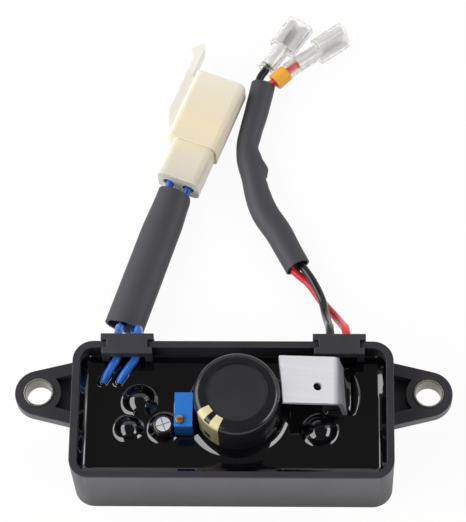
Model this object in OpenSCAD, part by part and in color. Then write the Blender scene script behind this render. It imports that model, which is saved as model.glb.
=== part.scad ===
// Automatic voltage regulator for a small generator: an open moulded tray filled with black
// resin, two bushed mounting ears, the tall components that stand out of the resin, and two
// pairs of leads that leave over the back wall. Millimetres, +Z up, +Y is the side of the
// leads, origin at the middle of the tray's underside.

/* [Tray] */
// Length of the tray across the rim
body_w = 86; // [84:1:92]
// Depth of the tray across the rim
body_d = 39; // [38:0.5:43]
// Height of the tray
body_h = 23; // [22:0.5:25]
// Wall thickness
wall = 2; // [1.6:0.1:2.4]
// Thickness of the floor
floor_t = 1.6; // [1.2:0.1:2]
// Radius of the upright corners, outside
corner_r = 5.5; // [4.5:0.5:7]
// Height of the posts under the board
post_h = 1.8; // [1.4:0.1:2.2]
// Radius of the posts under the board
post_r = 2; // [1.5:0.1:2.5]

/* [Ears] */
// Distance between the two mounting holes
hole_pitch = 105; // [102:0.5:112]
// Distance of the mounting holes behind the tray's middle
ear_y = 7.4; // [5:0.2:9]
// Height of the top of the ears
ear_top = 15.4; // [13:0.2:17]
// Thickness of the ears
ear_t = 5; // [4:0.2:6]
// Radius of the ear's round end
ear_r = 6.45; // [6:0.05:7.5]
// Width of the ear at the wall
ear_root = 18; // [16:0.5:20]
// Width of the ribs beside the pocket
ear_rib = 3.6; // [2.5:0.1:4.5]
// Radius of the boss around the bush
boss_r = 6.1; // [5.6:0.1:6.4]
// Depth of the pocket in the ear
pocket_depth = 3.4; // [2:0.2:4]
// Outer diameter of the metal bush
bush_od = 8; // [7.6:0.1:9]
// Bore of the metal bush
bush_id = 7; // [6:0.1:7.2]
// Length of the bush that stands out of each face of the ear
bush_proud = 0.3; // [0:0.1:0.6]

/* [Resin] */
// Level of the resin
resin_z = 17; // [16:0.25:17.5]
// Radius of the hollow edge where the resin climbs the walls
climb_r = 4.2; // [3:0.2:4.4]
// Radius of the larger dome
dome1_r = 4.2; // [3.6:0.1:4.4]
// Radius of the smaller dome
dome2_r = 3.6; // [3:0.1:3.8]
// Radius of the dome in front of the heat sink
dome3_r = 4.5; // [3.8:0.1:4.7]
// Height of the hollow skirt around a dome
skirt_r = 1.2; // [0.8:0.1:1.5]
// Height of the hollow skirt around the main capacitor
cap_skirt_r = 2.6; // [1.6:0.1:2.8]

/* [Circuit board] */
// Thickness of the board
board_t = 1.6; // [1.2:0.1:2]
// Gap between the board and the walls
board_gap = 0.8; // [0.5:0.1:1.2]
// Length of the leads below the board
lead_tail = 0.8; // [0.5:0.1:1.2]

/* [Main capacitor] */
// Place of the main capacitor along the tray
cap_x = 1.45; // [1.4:0.05:2]
// Place of the main capacitor across the tray
cap_y = 1.3; // [0:0.1:2]
// Outer diameter over the sleeve
cap_d = 23; // [21:0.25:23]
// Height of the top of the sleeve
cap_top = 32; // [28:0.5:33]
// Thickness of the sleeve
cap_sleeve_t = 0.35; // [0.25:0.05:0.5]
// Radius of the shoulder of the sleeve
cap_shoulder = 1.9; // [1.4:0.1:2.2]
// Radius of the opening in the top of the sleeve
cap_window_r = 8.2; // [7:0.1:8.6]
// Thickness of the disc under the sleeve's lip
cap_disc_t = 0.5; // [0.3:0.1:0.8]
// Distance between the capacitor's two pins
cap_pitch = 10; // [7.5:0.5:12]
// Radius of the capacitor's pins
cap_pin_r = 0.75; // [0.5:0.05:1]

/* [Trimmer] */
// Place of the trimmer along the tray
trim_x = -12.75; // [-13.2:0.05:-12.7]
// Place of the trimmer across the tray
trim_y = -1; // [-2:0.1:0]
// Width of the trimmer
trim_w = 4.83; // [4.5:0.01:5]
// Length of the trimmer
trim_l = 9.53; // [9:0.01:10]
// Height of the trimmer's body
trim_h = 10; // [9:0.1:10.5]
// Height of the trimmer's top face
trim_top = 25.3; // [24:0.1:27]
// Diameter of the adjusting screw
screw_d = 2.2; // [1.9:0.05:2.3]
// Distance of the screw from the trimmer's left side
screw_in_x = 1.47; // [1.4:0.01:1.6]
// Distance of the screw from the trimmer's front side
screw_in_y = 1.67; // [1.5:0.01:2]
// Length of the screw above the trimmer
screw_proud = 0.7; // [0.4:0.1:1]
// Depth of the screw inside the trimmer
screw_depth = 2.4; // [1.6:0.1:3]
// Width of the screw's slot
slot_w = 0.5; // [0.3:0.05:0.6]
// Depth of the screw's slot
slot_depth = 0.6; // [0.4:0.05:0.7]

/* [Heat sink] */
// Thickness of the sheet
sheet_t = 1.2; // [1:0.1:1.6]
// Length of the top plate
plate_l = 15.7; // [13:0.1:16]
// Width of the sheet
plate_d = 13.4; // [12:0.1:13.6]
// Length of the leg below the bend
leg_l = 16.5; // [15:0.5:17]
// Outer radius of the bend
bend_r = 2.2; // [1.8:0.1:2.6]
// Angle of the bend
sink_bend = 66; // [62:1:70]
// Height of the bend's outer corner
sink_z = 26.3; // [26:0.1:27.5]
// Lean of the heat sink to the right
sink_lean = 14; // [10:0.5:14]
// Diameter of the hole in the top plate
sink_hole_d = 2.3; // [1.8:0.1:3]

/* [Transistor] */
// Width of the transistor
tran_w = 10.2; // [9.6:0.1:10.4]
// Thickness of the transistor
tran_t = 4.6; // [4:0.1:4.8]
// Height of the transistor
tran_h = 15; // [14:0.1:15.4]
// Distance of the transistor's top below the bend
tran_drop = 1; // [0.6:0.1:1.4]
// Radius of its leads
tran_lead_r = 0.4; // [0.3:0.05:0.5]
// Distance between its leads
tran_pitch = 2.54; // [2.3:0.02:2.6]

/* [Small parts] */
// Diameter of the small capacitor over its sleeve
small_d = 5.6; // [5:0.1:5.8]
// Height of the small capacitor's top
small_top = 21.5; // [20:0.25:23]
// Diameter of the capacitor under the larger dome
radial1_d = 6.3; // [5:0.1:6.8]
// Diameter of the capacitor under the smaller dome
radial2_d = 5; // [4:0.1:5.4]
// Height of the two capacitors under the domes
radial_h = 11.5; // [9:0.25:12.5]
// Diameter of a diode's body
diode_d = 2.7; // [2.2:0.1:3]
// Length of a diode's body
diode_l = 5.2; // [4.4:0.1:5.6]
// Diameter of a resistor's body
resistor_d = 2.3; // [1.8:0.1:2.5]
// Length of a resistor's body
resistor_l = 6.3; // [5.5:0.1:6.6]
// Distance between the bent leads of a diode or resistor
axial_pitch = 10.2; // [9.6:0.1:10.6]
// Radius of the leads of the small parts
lead_r = 0.35; // [0.25:0.05:0.4]

/* [Slides over the leads] */
// Distance of each slide from the tray's middle
slide_x = 28.5; // [27.5:0.1:29]
// Width of the slide's neck in the wall
slide_neck = 11.2; // [11:0.1:12]
// Width of the outer flange
slide_out_w = 14.3; // [13.5:0.1:15]
// Width of the inner flange
slide_in_w = 13.5; // [13:0.1:14.5]
// Thickness of the outer flange
slide_out_t = 1.8; // [1.4:0.1:2.2]
// Thickness of the inner flange
slide_in_t = 1.9; // [1.5:0.1:2]
// Height of the slide above the rim
slide_proud = 0.8; // [0.4:0.1:1.2]
// Depth of the slot in the rim
slot_depth_rim = 5; // [4.8:0.1:5.2]
// Width of the arch that the leads pass through
arch_w = 9.4; // [8.8:0.1:9.6]
// Height of the arch
arch_h = 3; // [2.8:0.1:3.2]

/* [Leads] */
// Diameter of the blue leads
blue_d = 2.2; // [1.8:0.1:2.2]
// Diameter of the red and black leads
red_d = 2.3; // [1.8:0.1:2.3]
// Width of the left sleeve
sleeve1_w = 10.4; // [10:0.1:11]
// Height of the left sleeve
sleeve1_h = 8.4; // [8.2:0.1:8.6]
// Wall of the left sleeve
sleeve1_t = 0.7; // [0.4:0.05:0.8]
// Width of the right sleeve
sleeve2_w = 7.8; // [7.6:0.1:8.2]
// Height of the right sleeve
sleeve2_h = 6.8; // [6.8:0.1:7]
// Wall of the right sleeve
sleeve2_t = 0.55; // [0.4:0.05:0.6]
// Outer diameter of the marker ring on the red lead
marker_d = 5; // [4.2:0.1:5.2]
// Length of the marker ring
marker_l = 4.6; // [3.8:0.2:4.8]

/* [Connector] */
// Width of the rear block
con_rear_w = 12.4; // [12.2:0.1:13]
// Length of the rear block
con_rear_l = 12; // [11:0.2:13]
// Height of the rear block
con_rear_h = 9.4; // [8.8:0.1:9.6]
// Width of the front shroud
con_front_w = 14.8; // [14.2:0.1:15.4]
// Length of the front shroud
con_front_l = 23.4; // [22:0.2:25]
// Height of the front shroud
con_front_h = 9.9; // [9.7:0.1:11]
// Wall of the shroud
con_wall = 1.4; // [1.1:0.1:1.6]
// Radius of the rear block's long edges
con_rear_r = 2.2; // [1.5:0.1:2.6]
// Radius of the shroud's long edges
con_front_r = 1.8; // [1.5:0.1:2.4]
// Bore for a lead in the rear wall
entry_d = 3.4; // [3:0.1:3.8]
// Width of a terminal chamber
chamber = 5.2; // [5:0.1:5.4]
// Height of a terminal chamber
chamber_h = 3.8; // [3.4:0.1:5]
// Distance between the two chambers
chamber_pitch = 5.9; // [5.8:0.1:6.1]
// Thickness of the latch arm
latch_t = 2; // [1.6:0.1:2.2]
// Gap between the latch arm and the shroud
latch_gap = 1.2; // [1:0.1:1.5]
// Width of the latch arm
latch_w = 5; // [4:0.2:6]
// Reach of the latch beyond the mouth
latch_reach = 10; // [8:0.5:11]
// Length of the latch's root on the shroud
latch_root = 3; // [2:0.2:4]
// Length over which the latch arm leaves the shroud
latch_bow = 4.8; // [4:0.2:6]
// Length of the latch's hook
hook_l = 5.4; // [4.5:0.1:6]
// Height of the latch's hook
hook_h = 1.7; // [1:0.1:2]
// Width of a contact
contact_w = 4.6; // [4:0.1:4.8]
// Height of a contact
contact_h = 2.4; // [2:0.1:2.8]
// Length of a contact's box
contact_l = 10; // [8:0.2:11]

/* [Spade terminals] */
// Width of a spade terminal
spade_w = 6.8; // [6.3:0.1:7]
// Height of a spade terminal
spade_h = 2.4; // [2:0.1:2.6]
// Length of a spade terminal's channel
spade_l = 8.4; // [7.5:0.1:9]
// Sheet thickness of the terminals
spade_t = 0.5; // [0.4:0.05:0.6]
// Radius of the neck of a boot
neck_r = 2.4; // [2.35:0.05:2.5]
// Length of the neck of a boot
neck_l = 9; // [8.5:0.1:9.5]
// Length by which the neck of the red lead's boot is longer
neck_more = 2; // [1:0.2:2]
// Width of the flat part of a boot
boot_w = 8; // [7.8:0.1:8.2]
// Height of the flat part of a boot
boot_h = 4; // [3.8:0.1:4.2]
// Length of the flat part of a boot
boot_l = 10; // [9:0.2:11]
// Wall of a boot
boot_t = 0.5; // [0.4:0.05:0.6]

/* [Hidden] */
$fn = 64;
// Clearance of a piece in the resin, of a press seat, of a sliding fit and of a running fit
resin_gap = 0.04;
seat = 0.02;
slide_gap = 0.1;
run_gap = 0.06;
// Clearance of a lead in its hole in the board and of a cord in its passage
hole_gap = 0.1;
cord_gap = 0.15;

hole_x = hole_pitch / 2;
in_w = body_w - 2 * wall;
in_d = body_d - 2 * wall;
in_r = corner_r - wall;
board_z = floor_t + post_h;
board_top = board_z + board_t;
tail_z = board_z - lead_tail;
stand = 0.1;
cap_r = cap_d / 2;
can_r = cap_r - cap_sleeve_t - seat;
can_top = cap_top - cap_sleeve_t - cap_disc_t;
can_z = board_top + stand + 0.9;
screw_x = trim_x - trim_w / 2 + screw_in_x;
screw_y = trim_y - trim_l / 2 + screw_in_y;
slot_z = body_h - slot_depth_rim;
slide_top = body_h + slide_proud;
blue_r = blue_d / 2;
red_r = red_d / 2;
ear_h = ear_root / 2;
ear_run = hole_x - body_w / 2;

// Right end of the heat sink's plate, length of the plate taken by the bend, turn in plan
sink_p = [28.3, 6.95, sink_z];
sink_c = 1;
sink_turn = 4.2;
sink_hole = [-5.9, -1.9];

// Places of the small parts on the board
small_p = [-18.3, -3.8];
dome1_p = [-25, 3.8];
dome2_p = [-27.6, -3.9];
dome3_p = [23.4, -4.2];
diode_y = 3.3 - in_d / 2;
diode_p = [[-25, diode_y + 0.8], [-11, diode_y], [13.6, diode_y], [27, diode_y + 0.8]];
resistor_y = max(in_d / 2 - 2.5, cap_y + cap_r + resistor_d / 2 + 0.2);
resistor_p = [[-16, in_d / 2 - 5.1], [3, resistor_y]];
film_size = [7, 3.4, 9.5];

// Routes of the four leads, from the board to the terminals
blue1_route = [[-35.6, 8.6, 2.8], [-35.6, 8.6, 15.6], [-34.6, 10.4, 17.9], [-32.6, 13.6, 19.2],
    [-31.4, 16, 19.4], [-31.3, 22, 19.4], [-31.3, 25.4, 17.2], [-31.5, 28.6, 9.5],
    [-31.4, 32.2, 4], [-29.8, 37.8, 2.6], [-24.9, 54.2, 2.6], [-19.8, 69.8, 3],
    [-19.4, 75, 4.6], [-17.8, 80.3, 4.9]];
blue2_route = [[-31.4, 8.6, 2.8], [-31.4, 8.6, 15.6], [-30.2, 10.4, 17.9], [-27.8, 13.6, 19.2],
    [-26.2, 16, 19.4], [-26, 22, 19.4], [-26, 25, 17.4], [-26.5, 27.4, 10],
    [-27.9, 29.6, 5], [-28.1, 31.8, 4.2], [-26.6, 36.4, 3.2], [-21.6, 53.1, 2.6], [-16.2, 69, 3],
    [-14.2, 73.2, 4.6], [-12.4, 78.2, 4.9]];
red_route = [[27.4, 14.4, 2.8], [27.4, 14.4, 16.2], [27.4, 15.2, 18.4], [27.7, 17.2, 19.4],
    [30.3, 21.6, 19.4], [30.8, 25.2, 17], [30.4, 29.4, 9], [27.8, 34.8, 3.4], [23.8, 40.2, 1.9],
    [20.2, 45.4, 2.2],
    [15.9, 49.5, 2.5], [10.7, 59.8, 2.4], [6.5, 67, 2.2], [4.2, 79, 2.15], [3.6, 87, 2.2],
    [6, 97.8, 2.8], [8, 107.1, 3.4], [10.2, 107.9, 4.5], [11.9, 109.4, 4.7], [13.6, 110.9, 4.9],
    [15.4, 112.7, 4.7], [19.4, 115.6, 4.7]];
black_route = [[24.7, 14.4, 2.8], [24.7, 14.4, 16.2], [24.9, 15.2, 18.4], [25.25, 17.2, 19.4],
    [26, 21.6, 19.4], [26.2, 25.4, 17.4], [25.8, 29.6, 11], [24.9, 34.6, 6.6], [23.7, 39.8, 4.9],
    [21.2, 45.4, 4.6],
    [18.1, 50.6, 3.8], [12.9, 60.9, 3.2], [8.3, 67.8, 4.5], [4.2, 79, 4.85], [1.6, 87, 4.6],
    [3.5, 98.2, 3.4], [5.4, 107.6, 3.4], [5.9, 109.9, 3.4], [7.4, 112.4, 3.4], [10.2, 116.5, 3.4]];
// Routes of the two sleeves
sleeve1_route = [[-30.9, 31.3, 4.3], [-17.8, 72.2, 4.3]];
sleeve2_route = [[17, 50, 3.5], [14.4, 55, 3.5], [11.8, 60.3, 3.5], [7.4, 67.4, 3.5], [5.3, 73, 3.5],
    [4.2, 79, 3.5], [2.6, 87, 3.5], [3.5, 92.6, 3.5], [4.8, 98, 3.5], [6.8, 107.4, 3.5]];
// Place and turn of the connector, of the two boots and of the marker ring
con_p = [-16.9, 74.6, 0.2];
con_turn = -21;
con_right = 6.85;
boot_black_p = [7.4, 112.4, 3.4];
boot_black_turn = -34;
boot_red_p = [15.4, 112.7, 4.7];
boot_red_turn = -54;
boot_red_roll = 70;
marker_p = [10.2, 107.9, 4.5];
marker_turn = -48;
marker_rise = 5;
// Length of a lead inside the connector and inside a boot
blue_in = 5;
red_in = 5;

// Sweeps along a route: one ring of points per route point
function unit(v) = v / norm(v);
function heading(route, i) = unit(route[min(i + 1, len(route) - 1)] - route[max(i - 1, 0)]);
function ring(p, t, ref, a, b, n) =
    let (u = unit(cross(t, ref)), w = cross(u, t))
    [for (k = [0:n - 1]) p + a * cos(360 * k / n) * u + b * sin(360 * k / n) * w];
function rings(route, ref, a, b, n) =
    [for (i = [0:len(route) - 1]) each ring(route[i], heading(route, i), ref, a, b, n)];
function side_faces(m, n, base) =
    [for (i = [0:m - 2]) for (k = [0:n - 1])
        let (k2 = (k + 1) % n, p = base + i * n, q = p + n)
        each [[p + k, p + k2, q + k2], [p + k, q + k2, q + k]]];
function flip(faces) = [for (f = faces) [f[0], f[2], f[1]]];

module cord(route, r, n = 8) {
    m = len(route);
    polyhedron(rings(route, [1, 0, 0], r, r, n),
        concat(side_faces(m, n, 0),
            [[for (k = [n - 1:-1:0]) k]],
            [[for (k = [0:n - 1]) (m - 1) * n + k]]));
}

module bent_sleeve(route, w, h, t, n = 16) {
    m = len(route);
    s = m * n;
    last = (m - 1) * n;
    polyhedron(
        concat(rings(route, [0, 0, 1], w / 2, h / 2, n), rings(route, [0, 0, 1], w / 2 - t, h / 2 - t, n)),
        concat(side_faces(m, n, 0), flip(side_faces(m, n, s)),
            [for (k = [0:n - 1]) let (k2 = (k + 1) % n) each [[k, s + k, s + k2], [k, s + k2, k2]]],
            [for (k = [0:n - 1]) let (k2 = (k + 1) % n)
                each [[last + k, last + k2, s + last + k2], [last + k, s + last + k2, s + last + k]]]));
}

// Outlines
module rounded(w, d, r) {
    square([w - 2 * r, d], center = true);
    square([w, d - 2 * r], center = true);
    for (i = [-1, 1], j = [-1, 1])
        translate([i * (w / 2 - r), j * (d / 2 - r)]) circle(r);
}

module stadium(w, h) {
    square([w - h, h], center = true);
    for (i = [-1, 1]) translate([i * (w - h) / 2, 0]) circle(h / 2);
}

// Round end and the two flanks that run tangent to it, seen from the tray's wall
module ear_outline() {
    reach = norm([ear_run, ear_h]);
    a = atan2(ear_h, -ear_run) - acos(ear_r / reach);
    tip = [ear_run + ear_r * cos(a), ear_r * sin(a)];
    translate([ear_run, 0]) circle(ear_r);
    polygon([[0, ear_h], tip, [tip[0], -tip[1]], [0, -ear_h], [-wall / 2, -ear_h], [-wall / 2, ear_h]]);
}

module ear_pocket() {
    fall = (ear_h - ear_r) / ear_run;
    top = ear_h - ear_rib;
    difference() {
        polygon([[0, top], [ear_run, top - fall * ear_run], [ear_run, fall * ear_run - top], [0, -top]]);
        translate([ear_run, 0]) circle(boss_r);
    }
}

module at_ear(side) {
    mirror([side < 0 ? 1 : 0, 0, 0]) translate([body_w / 2, ear_y, ear_top]) children();
}

module slide_plan(g) {
    y0 = body_d / 2 - wall;
    translate([-slide_neck / 2 - g, y0 - 1]) square([slide_neck + 2 * g, wall + 2]);
}

module housing() {
    color([0.13, 0.13, 0.14]) {
        difference() {
            union() {
                linear_extrude(body_h) rounded(body_w, body_d, corner_r);
                for (side = [-1, 1])
                    at_ear(side) translate([0, 0, -ear_t]) linear_extrude(ear_t) ear_outline();
            }
            translate([0, 0, floor_t]) linear_extrude(body_h) rounded(in_w, in_d, in_r);
            for (side = [-1, 1]) {
                at_ear(side) translate([0, 0, -pocket_depth]) linear_extrude(pocket_depth + 1) ear_pocket();
                at_ear(side) translate([ear_run, 0, -ear_t - 1])
                    cylinder(r = bush_od / 2 + seat, h = ear_t + 2);
                translate([side * slide_x, 0, slot_z]) linear_extrude(body_h) slide_plan(0);
            }
        }
        for (i = [-1, 1], j = [-1, 1])
            translate([i * (in_w / 2 - 4.5), j * (in_d / 2 - 4), floor_t]) cylinder(r = post_r, h = post_h);
    }
}

module mounting_bush(side) {
    color([0.72, 0.7, 0.64])
        at_ear(side) translate([ear_run, 0, -ear_t - bush_proud]) difference() {
            cylinder(r = bush_od / 2, h = ear_t + 2 * bush_proud);
            translate([0, 0, -1]) cylinder(r = bush_id / 2, h = ear_t + 2 * bush_proud + 2);
        }
}

// Board and what is soldered to it
module lead(p, r, top, g = 0) {
    translate([p[0], p[1], tail_z - g]) cylinder(r = r + g, h = top - tail_z + g);
}

function cap_leads() = [for (i = [-1, 1]) [cap_x + i * cap_pitch / 2, cap_y]];
function trim_leads() = [for (j = [-1, 0, 1]) [trim_x + (j == 0 ? 1 : -1) * 0.6, trim_y + j * 2.54]];
function small_leads() = [for (i = [-1, 1]) [small_p[0] + i * 1.25, small_p[1]]];
function film_leads() = [for (i = [-1, 1]) [dome3_p[0] + i * 2.5, dome3_p[1]]];
function radial_leads(p) = [for (j = [-1, 1]) [p[0], p[1] + j * 1.25]];
function axial_leads(p) = [for (i = [-1, 1]) [p[0] + i * axial_pitch / 2, p[1]]];
// A point of the heat sink's own axes in the tray's axes
function sink_point(u, v, w) =
    let (x = u * cos(sink_lean) + w * sin(sink_lean), z = w * cos(sink_lean) - u * sin(sink_lean))
    sink_p + [x * cos(sink_turn) - v * sin(sink_turn), x * sin(sink_turn) + v * cos(sink_turn), z];
// A point of the leg's own axes: a down the leg, v across it, b out of its outer face
function leg_point(a, v, b) =
    sink_point(a * cos(sink_bend) + b * sin(sink_bend) - sink_c, v,
        b * cos(sink_bend) - a * sin(sink_bend) - bend_r);
tran_b = bend_r - sheet_t - seat - tran_t / 2;
tran_foot = tran_drop + tran_h;
knee = 1.2;
function tran_knee(j) = leg_point(tran_foot + knee, j * tran_pitch, tran_b);

module circuit_board() {
    color([0.2, 0.38, 0.2])
        difference() {
            translate([0, 0, board_z]) linear_extrude(board_t)
                rounded(in_w - 2 * board_gap, in_d - 2 * board_gap, in_r);
            for (p = cap_leads()) lead(p, cap_pin_r + hole_gap, board_top + 1, 0.5);
            for (p = trim_leads()) lead(p, lead_r + hole_gap, board_top + 1, 0);
            for (p = concat(small_leads(), film_leads(), radial_leads(dome1_p), radial_leads(dome2_p)))
                lead(p, lead_r + hole_gap, board_top + 1, 0);
            for (p = concat(diode_p, resistor_p)) for (q = axial_leads(p))
                lead(q, lead_r + hole_gap, board_top + 1, 0);
            for (j = [-1, 0, 1]) lead(tran_knee(j), tran_lead_r + hole_gap, board_top + 1, 0);
            for (r = [blue1_route, blue2_route]) lead(r[0], blue_r + cord_gap, board_top + 1, 0);
            for (r = [red_route, black_route]) lead(r[0], red_r + cord_gap, board_top + 1, 0);
        }
}

// Main capacitor
module capped(r, z0, z1, round_r) {
    rotate_extrude() {
        translate([0, z0]) square([r, z1 - z0 - round_r]);
        translate([0, z0]) square([r - round_r, z1 - z0]);
        translate([r - round_r, z1 - round_r]) intersection() {
            circle(round_r);
            square(round_r);
        }
    }
}

module main_capacitor_can() {
    color([0.75, 0.76, 0.78])
        translate([cap_x, cap_y, 0]) capped(can_r, can_z, can_top, cap_shoulder - cap_sleeve_t);
}

module main_capacitor_disc() {
    color([0.17, 0.17, 0.18])
        translate([cap_x, cap_y, can_top]) cylinder(r = can_r - cap_shoulder, h = cap_disc_t);
}

module main_capacitor_sleeve() {
    color([0.07, 0.07, 0.08])
        translate([cap_x, cap_y, 0]) difference() {
            capped(cap_r, can_z - 0.4, cap_top, cap_shoulder);
            translate([0, 0, -1])
                capped(can_r + seat, can_z - 1, can_top + 1 + seat, cap_shoulder - cap_sleeve_t);
            translate([0, 0, can_top - 1])
                cylinder(r = can_r - cap_shoulder + seat, h = cap_disc_t + 1 + seat);
            cylinder(r = cap_window_r, h = cap_top + 1);
        }
}

module main_capacitor_seal() {
    color([0.3, 0.22, 0.15])
        translate([cap_x, cap_y, board_top + stand]) cylinder(r = can_r, h = can_z - board_top - stand);
}

module main_capacitor_pins() {
    color([0.8, 0.8, 0.8])
        for (p = cap_leads()) lead(p, cap_pin_r, board_top + stand);
}

// Trimmer
module trimmer_body() {
    color([0.1, 0.35, 0.75])
        difference() {
            translate([trim_x - trim_w / 2, trim_y - trim_l / 2, trim_top - trim_h])
                cube([trim_w, trim_l, trim_h]);
            translate([screw_x, screw_y, trim_top - screw_depth - run_gap])
                cylinder(r = screw_d / 2 + run_gap, h = screw_depth + 1);
        }
}

module trimmer_screw() {
    color([0.85, 0.55, 0.3])
        translate([screw_x, screw_y, trim_top - screw_depth]) difference() {
            cylinder(r = screw_d / 2, h = screw_depth + screw_proud);
            translate([-screw_d, -slot_w / 2, screw_depth + screw_proud - slot_depth])
                cube([2 * screw_d, slot_w, slot_depth + 1]);
        }
}

module trimmer_pins() {
    color([0.8, 0.8, 0.8])
        for (p = trim_leads()) lead(p, lead_r, trim_top - trim_h);
}

// Heat sink: a bent strip that leans with the transistor on its leg
module at_sink() {
    translate(sink_p) rotate([0, 0, sink_turn]) rotate([0, sink_lean, 0]) children();
}

module at_leg() {
    at_sink() translate([-sink_c, 0, -bend_r]) rotate([0, sink_bend, 0]) children();
}

module sink_profile(g) {
    translate([-plate_l - g, -sheet_t - g]) square([plate_l - sink_c + g, sheet_t + 2 * g]);
    translate([-sink_c, -bend_r]) {
        rotate(-sink_bend) translate([0, bend_r - sheet_t - g]) square([leg_l + g, sheet_t + 2 * g]);
        intersection() {
            difference() {
                circle(bend_r + g);
                circle(bend_r - sheet_t - g);
            }
            polygon([[0, 0], [0, 2 * bend_r], [2 * bend_r, 2 * bend_r],
                [2 * bend_r * sin(sink_bend), 2 * bend_r * cos(sink_bend)]]);
        }
    }
}

module sink_solid(g) {
    at_sink() rotate([90, 0, 0]) translate([0, 0, -plate_d / 2 - g])
        linear_extrude(plate_d + 2 * g) sink_profile(g);
}

module heat_sink() {
    color([0.85, 0.85, 0.87])
        difference() {
            sink_solid(0);
            at_sink() translate([sink_hole[0], sink_hole[1], -sheet_t - 1])
                cylinder(r = sink_hole_d / 2, h = sheet_t + 2);
        }
}

module tran_solid(g) {
    at_leg() translate([tran_drop - g, -tran_w / 2 - g, tran_b - tran_t / 2 - g])
        cube([tran_h + 2 * g, tran_w + 2 * g, tran_t + 2 * g]);
}

module power_transistor() {
    color([0.1, 0.1, 0.1])
        difference() {
            tran_solid(0);
            at_leg() translate([tran_drop + 3.4, 0, tran_b]) cylinder(r = 1.6, h = tran_t + 1, center = true);
        }
}

module tran_lead(j, g) {
    k = tran_knee(j);
    at_leg() translate([tran_foot, j * tran_pitch, tran_b]) rotate([0, 90, 0])
        cylinder(r = tran_lead_r + g, h = knee);
    translate(k) sphere(1.15 * tran_lead_r + g);
    lead(k, tran_lead_r, k[2], g);
}

module transistor_leads() {
    color([0.8, 0.8, 0.8])
        for (j = [-1, 0, 1]) tran_lead(j, 0);
}

// Small parts
module small_capacitor_can() {
    color([0.82, 0.82, 0.84])
        translate([small_p[0], small_p[1], 0]) difference() {
            capped(small_d / 2 - 0.3 - seat, board_top + stand, small_top - 0.1, 0.5);
            for (a = [0, 90])
                translate([0, 0, small_top - 0.25]) rotate([0, 0, a + 20])
                    translate([-1.6, -0.12, 0]) cube([3.2, 0.24, 1]);
        }
}

module small_capacitor_sleeve() {
    color([0.07, 0.07, 0.08])
        translate([small_p[0], small_p[1], 0]) difference() {
            capped(small_d / 2, board_top + stand, small_top, 0.75);
            translate([0, 0, -1]) capped(small_d / 2 - 0.3, board_top, small_top + 0.9 + seat, 0.5);
            cylinder(r = small_d / 2 - 0.75, h = small_top + 1);
        }
}

module small_capacitor_leads() {
    color([0.8, 0.8, 0.8])
        for (p = small_leads()) lead(p, lead_r, board_top + stand);
}

module radial_solid(p, d, g) {
    translate([p[0], p[1], board_top + stand - g]) cylinder(r = d / 2 + g, h = radial_h + 2 * g);
}

module radial_capacitor(p, d) {
    color([0.15, 0.2, 0.35]) {
        radial_solid(p, d, 0);
        for (q = radial_leads(p)) lead(q, lead_r, board_top + stand + 0.5);
    }
}

module film_solid(g) {
    translate([dome3_p[0] - film_size[0] / 2 - g, dome3_p[1] - film_size[1] / 2 - g, board_top + stand - g])
        cube(film_size + 2 * [g, g, g]);
}

module film_capacitor() {
    color([0.5, 0.2, 0.15]) {
        film_solid(0);
        for (q = film_leads()) lead(q, lead_r, board_top + stand + 0.5);
    }
}

module axial(p, d, l, g) {
    z = board_top + stand + d / 2;
    translate([p[0] - l / 2 - g, p[1], z]) rotate([0, 90, 0]) cylinder(r = d / 2 + g, h = l + 2 * g);
    translate([p[0] - axial_pitch / 2, p[1], z]) rotate([0, 90, 0]) cylinder(r = lead_r + g, h = axial_pitch);
    for (q = axial_leads(p)) {
        translate([q[0], q[1], z]) sphere(lead_r + g);
        lead(q, lead_r, z, g);
    }
}

module diode(i) {
    color([0.12, 0.12, 0.12]) axial(diode_p[i], diode_d, diode_l, 0);
}

module resistor(i) {
    color([0.7, 0.6, 0.45]) axial(resistor_p[i], resistor_d, resistor_l, 0);
}

// Resin
module resin_plan() {
    rounded(in_w - 2 * seat, in_d - 2 * seat, in_r - seat);
}

// Quarter-hollow profile that climbs a wall at its left, sunk a little into the resin
module hollow(s) {
    difference() {
        translate([-0.5, -0.5]) square([0.85 * s + 0.5, s + 0.5]);
        translate([s, s]) circle(s);
    }
}

module skirt(r, s) {
    rotate_extrude() translate([r, 0]) hollow(s);
}

module dome(p, r) {
    translate([p[0], p[1], resin_z]) {
        intersection() {
            translate([0, 0, -0.2 * r]) sphere(r);
            translate([0, 0, -0.5]) cylinder(r = 2 * r, h = r + 0.5);
        }
        skirt(r * sqrt(0.96) - 0.15, skirt_r);
    }
}

// Resin drawn up along the four walls
module climb() {
    lip = 0.25;
    translate([0, 0, resin_z]) {
        for (j = [0, 1])
            mirror([0, j, 0]) translate([-in_w / 2, lip - in_d / 2, 0])
                rotate([90, 0, 90]) linear_extrude(in_w) hollow(climb_r);
        for (i = [0, 1])
            mirror([i, 0, 0]) translate([lip - in_w / 2, in_d / 2, 0])
                rotate([90, 0, 0]) linear_extrude(in_d) hollow(climb_r);
    }
}

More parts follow.
